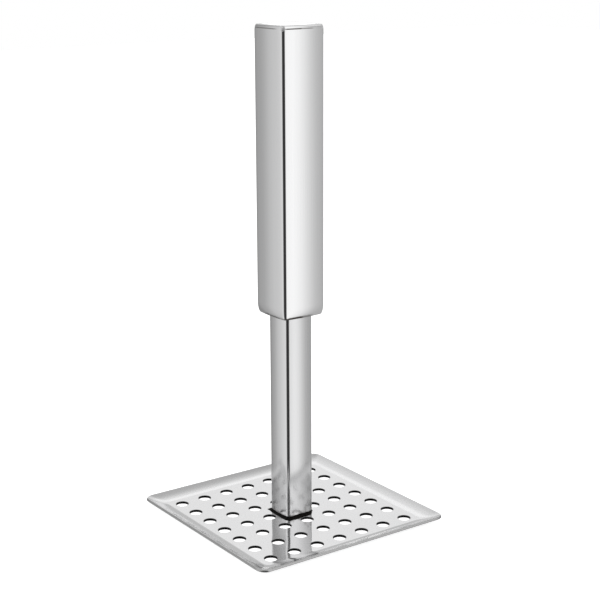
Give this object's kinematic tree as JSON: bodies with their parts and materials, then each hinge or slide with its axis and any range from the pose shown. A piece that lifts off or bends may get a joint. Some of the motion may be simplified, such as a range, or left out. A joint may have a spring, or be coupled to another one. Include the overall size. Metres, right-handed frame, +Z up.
{
  "type": "potato masher",
  "caption": "Rigid all-steel hand masher: a square perforated tray with a flared rim, a square stem welded to its middle and a thicker hollow square handle with drawn-in ends.",
  "frame": {"origin": "middle of the flat underside of the mashing tray, where the masher stands", "axes": "+Z up along the stem to the handle; X and Y along the sides of the square tray, which the faces of the stem and the handle are parallel to"},
  "size_m": [0.115, 0.115, 0.2542],
  "materials": {
    "polished_steel": "stainless steel tube polished nearly to a mirror, with faint lengthwise polishing lines",
    "plate_steel": "bright rolled stainless sheet, faintly speckled, with dark sheared edges in its holes",
    "ground_weld": "weld seam ground flush and polished",
    "burnt_weld": "weld bead as laid, darkened by heat"
  },
  "bodies": {
    "root": {"mash_plate": "plate_steel", "stem_tube": "polished_steel", "stem_foot_weld": "burnt_weld", "handle_tube": "polished_steel", "handle_top_cap": "polished_steel", "top_cap_weld": "ground_weld", "handle_bottom_cap": "polished_steel", "bottom_cap_weld": "ground_weld", "collar_weld": "burnt_weld", "stem_guide": "plate_steel", "guide_welds": "burnt_weld"}
  },
  "joints": []
}
